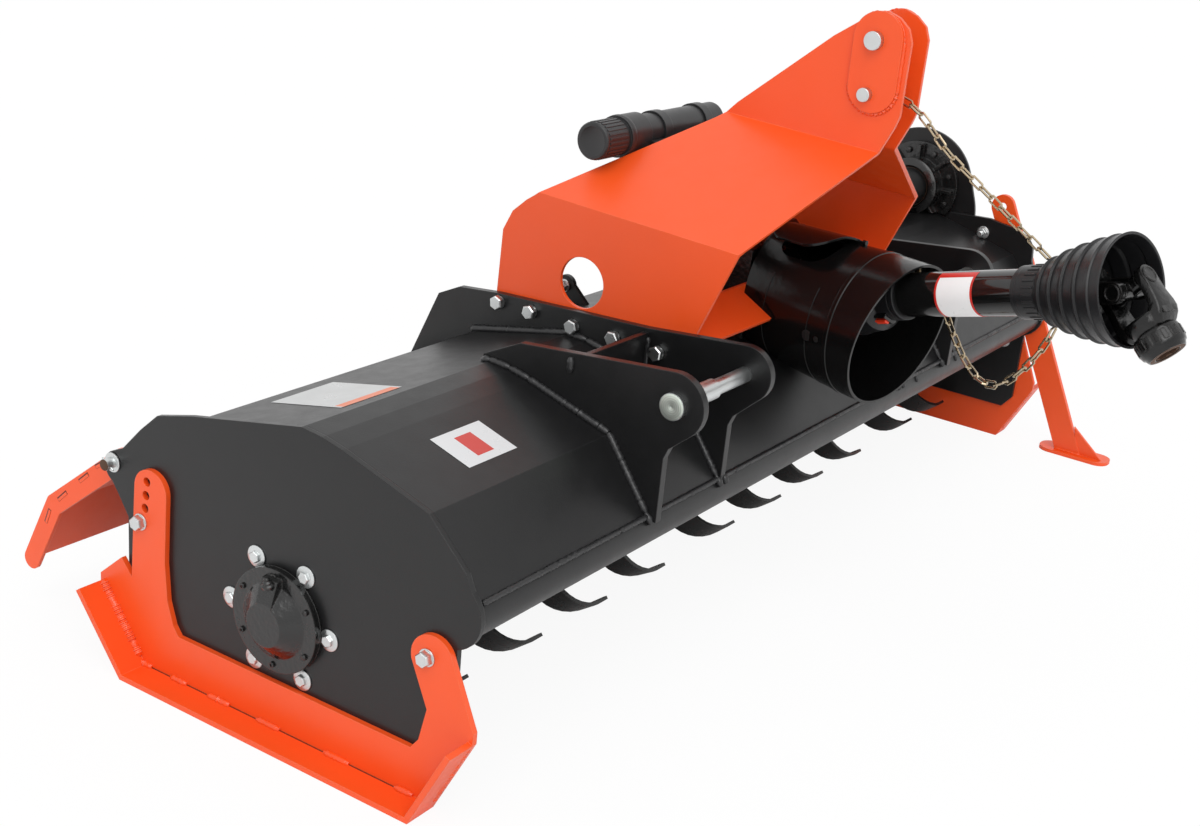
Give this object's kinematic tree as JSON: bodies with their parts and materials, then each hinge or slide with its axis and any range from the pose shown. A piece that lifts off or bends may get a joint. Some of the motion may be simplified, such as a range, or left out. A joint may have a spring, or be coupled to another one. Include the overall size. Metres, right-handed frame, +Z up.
{
  "type": "rotary tiller",
  "caption": "Tractor-mounted rotary tiller with a folded deck, bladed rotor, hitch mast, side skids, hinged tailgate, parking stand and guarded drive shaft.",
  "frame": {"origin": "on the ground, straight under the middle of the rotor's axis", "axes": "+X across the machine towards the drive case, -Y towards the tractor, +Z up"},
  "size_m": [1.958, 1.3631, 0.929],
  "materials": {
    "black_paint": "satin black powder coat",
    "orange_paint": "gloss orange powder coat",
    "zinc_steel": "bright zinc plate",
    "chain_zinc": "yellow zinc plate",
    "cast_black": "gloss black paint over rough casting",
    "forged_steel": "black paint over forged steel",
    "tine_steel": "black dip over spring steel",
    "guard_plastic": "glossy black polyethylene",
    "canister_plastic": "black moulded plastic"
  },
  "bodies": {
    "machine": {"canister": "canister_plastic", "canister_bracket": "black_paint", "canister_cap": "canister_plastic", "case_cover": "black_paint", "case_plate": "black_paint", "chain_lower": "chain_zinc", "chain_upper": "chain_zinc", "cross_rear": "forged_steel", "cross_tube": "black_paint", "deck": "black_paint", "drive_flange": "cast_black", "end_plate_left": "black_paint", "end_plate_right": "black_paint", "front_tube": "black_paint", "gearbox": "cast_black", "guard_cone_front": "guard_plastic", "guard_cone_rear": "guard_plastic", "guard_tube": "guard_plastic", "hinge_rod": "zinc_steel", "hitch_gussets": "black_paint", "hitch_inner_plates": "black_paint", "hitch_outer_plates": "black_paint", "hitch_pins": "zinc_steel", "hub_cap": "cast_black", "mast_cross": "orange_paint", "mast_doublers": "orange_paint", "mast_left": "orange_paint", "mast_pins": "zinc_steel", "mast_right": "orange_paint", "rotor_bearings": "cast_black", "shaft_rod": "forged_steel", "shield": "guard_plastic", "skid_left": "orange_paint", "skid_right": "orange_paint", "stand_pin": "zinc_steel", "stand_sleeve": "orange_paint", "yoke_gearbox": "forged_steel", "yoke_shaft_front": "forged_steel", "yoke_shaft_rear": "forged_steel"},
    "rotor": {"rotor": "black_paint", "tines": "tine_steel"},
    "tailgate": {"tailgate": "orange_paint", "tailgate_sides": "orange_paint"},
    "stand": {"stand": "orange_paint"},
    "front_cross": {"cross_front": "forged_steel"},
    "end_yoke": {"end_yoke": "forged_steel"},
    "shield_door": {"shield_door": "guard_plastic"}
  },
  "joints": [
    {"name": "rotor_spin", "type": "hinge", "parent": "machine", "child": "rotor", "pos_m": [0, 0, 0.165], "axis": [1, 0, 0], "continuous": true},
    {"name": "tailgate_hinge", "type": "hinge", "parent": "machine", "child": "tailgate", "pos_m": [0, 0.308, 0.286], "axis": [1, 0, 0], "range_deg": [-15, 45]},
    {"name": "stand_slide", "type": "slide", "parent": "machine", "child": "stand", "axis": [0, 0.4462, 0.8949], "range_m": [0, 0.06]},
    {"name": "cross_swivel", "type": "hinge", "parent": "machine", "child": "front_cross", "pos_m": [-0.14679, -0.75512, 0.6365], "axis": [0.9563, -0.2924, 0], "range_deg": [-70, 0]},
    {"name": "yoke_swivel", "type": "hinge", "parent": "front_cross", "child": "end_yoke", "pos_m": [-0.14679, -0.75512, 0.6365], "axis": [-0.1879, -0.6147, 0.766], "range_deg": [-25, 25]},
    {"name": "door_hinge", "type": "hinge", "parent": "machine", "child": "shield_door", "pos_m": [0.00558, -0.18862, 0.5765], "axis": [0.1724, 0.9846, -0.0295], "range_deg": [-15, 80]}
  ]
}
